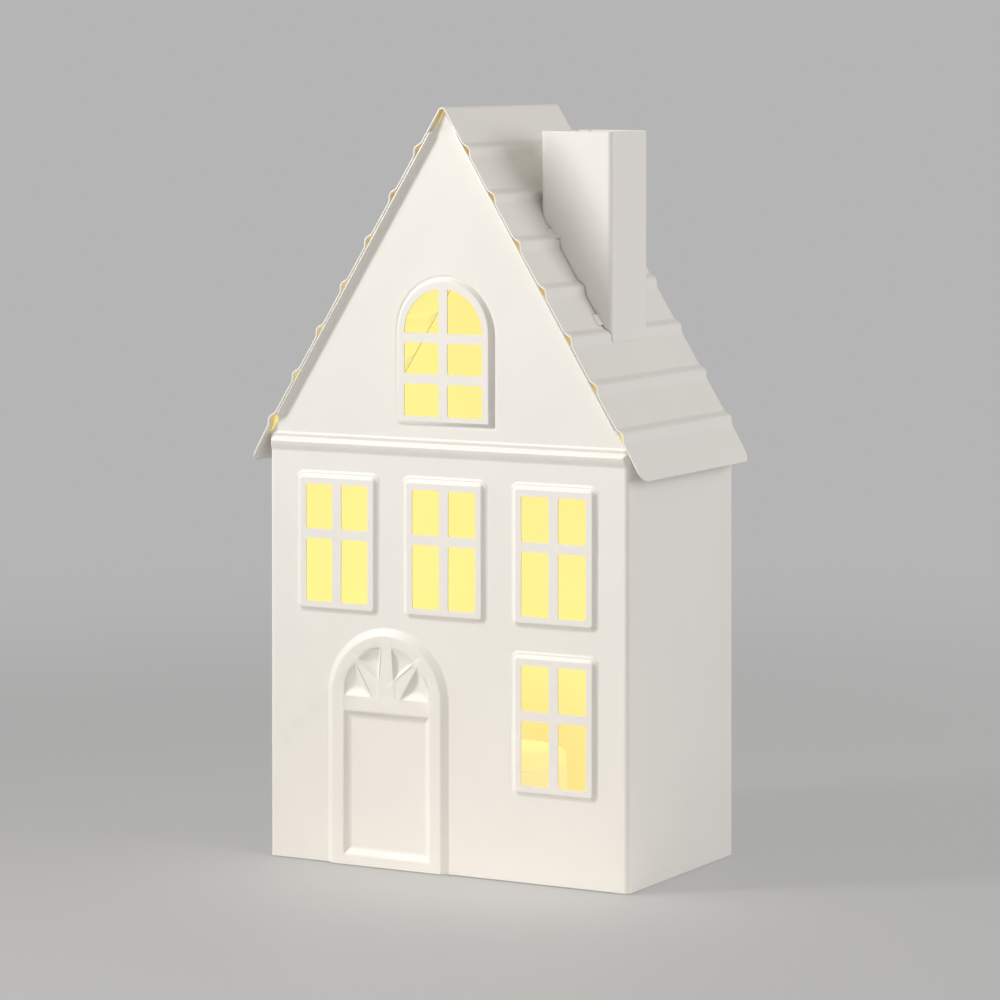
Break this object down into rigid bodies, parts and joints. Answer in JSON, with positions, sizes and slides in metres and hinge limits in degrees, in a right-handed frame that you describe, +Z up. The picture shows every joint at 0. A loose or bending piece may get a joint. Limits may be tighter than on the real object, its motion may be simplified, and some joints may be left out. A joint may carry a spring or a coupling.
{
  "type": "lit house ornament",
  "caption": "White sheet-metal house with pierced windows, a pressed door, a ribbed roof and a chimney, lit from within by a round battery light.",
  "frame": {"origin": "on the ground, under the middle of the roof", "axes": "+Z up, -Y towards the front with the door, +X to the right as seen from the front"},
  "size_m": [0.1792, 0.0958, 0.305],
  "materials": {
    "white_paint": "fine satin powder coat on sheet steel",
    "white_plastic": "moulded, fine matt",
    "frosted_plastic": "frosted, lit from within",
    "cell_jacket": "plain film jacket on a steel can, gloss",
    "spring_steel": "nickel-plated spring strip",
    "board_green": "solder-masked glass-fibre board",
    "led_clear": "clear moulded lens, lit",
    "black_plastic": "moulded, matt",
    "resistor_tan": "lacquered",
    "wire_red": "wire insulation",
    "wire_black": "wire insulation",
    "zinc_steel": "zinc-plated"
  },
  "bodies": {
    "house": {"wall_shell": "white_paint", "back_panel": "white_paint", "roof_sheet": "white_paint", "chimney": "white_paint", "floor_plate": "white_paint", "lamp_housing": "white_plastic", "lamp_cap": "frosted_plastic", "battery_tray": "white_plastic", "contact_bridge": "spring_steel", "contact_positive": "spring_steel", "contact_negative": "spring_steel", "circuit_board": "board_green", "led": "led_clear", "timer_chip": "black_plastic", "resistor": "resistor_tan", "switch_body": "black_plastic", "switch_lead_red": "wire_red", "switch_lead_black": "wire_black", "battery_cell_1": "cell_jacket", "battery_cell_2": "cell_jacket", "lamp_screw_1": "zinc_steel", "lamp_screw_2": "zinc_steel", "board_screw_1": "zinc_steel", "board_screw_2": "zinc_steel"},
    "battery_cover": {"battery_cover": "white_plastic"},
    "switch_knob": {"switch_knob": "black_plastic"}
  },
  "joints": [
    {"name": "battery_cover_slide", "type": "slide", "parent": "house", "child": "battery_cover", "axis": [1, 0, 0], "range_m": [0, 0.05]},
    {"name": "switch_slide", "type": "slide", "parent": "house", "child": "switch_knob", "axis": [1, 0, 0], "range_m": [0, 0.004]}
  ]
}
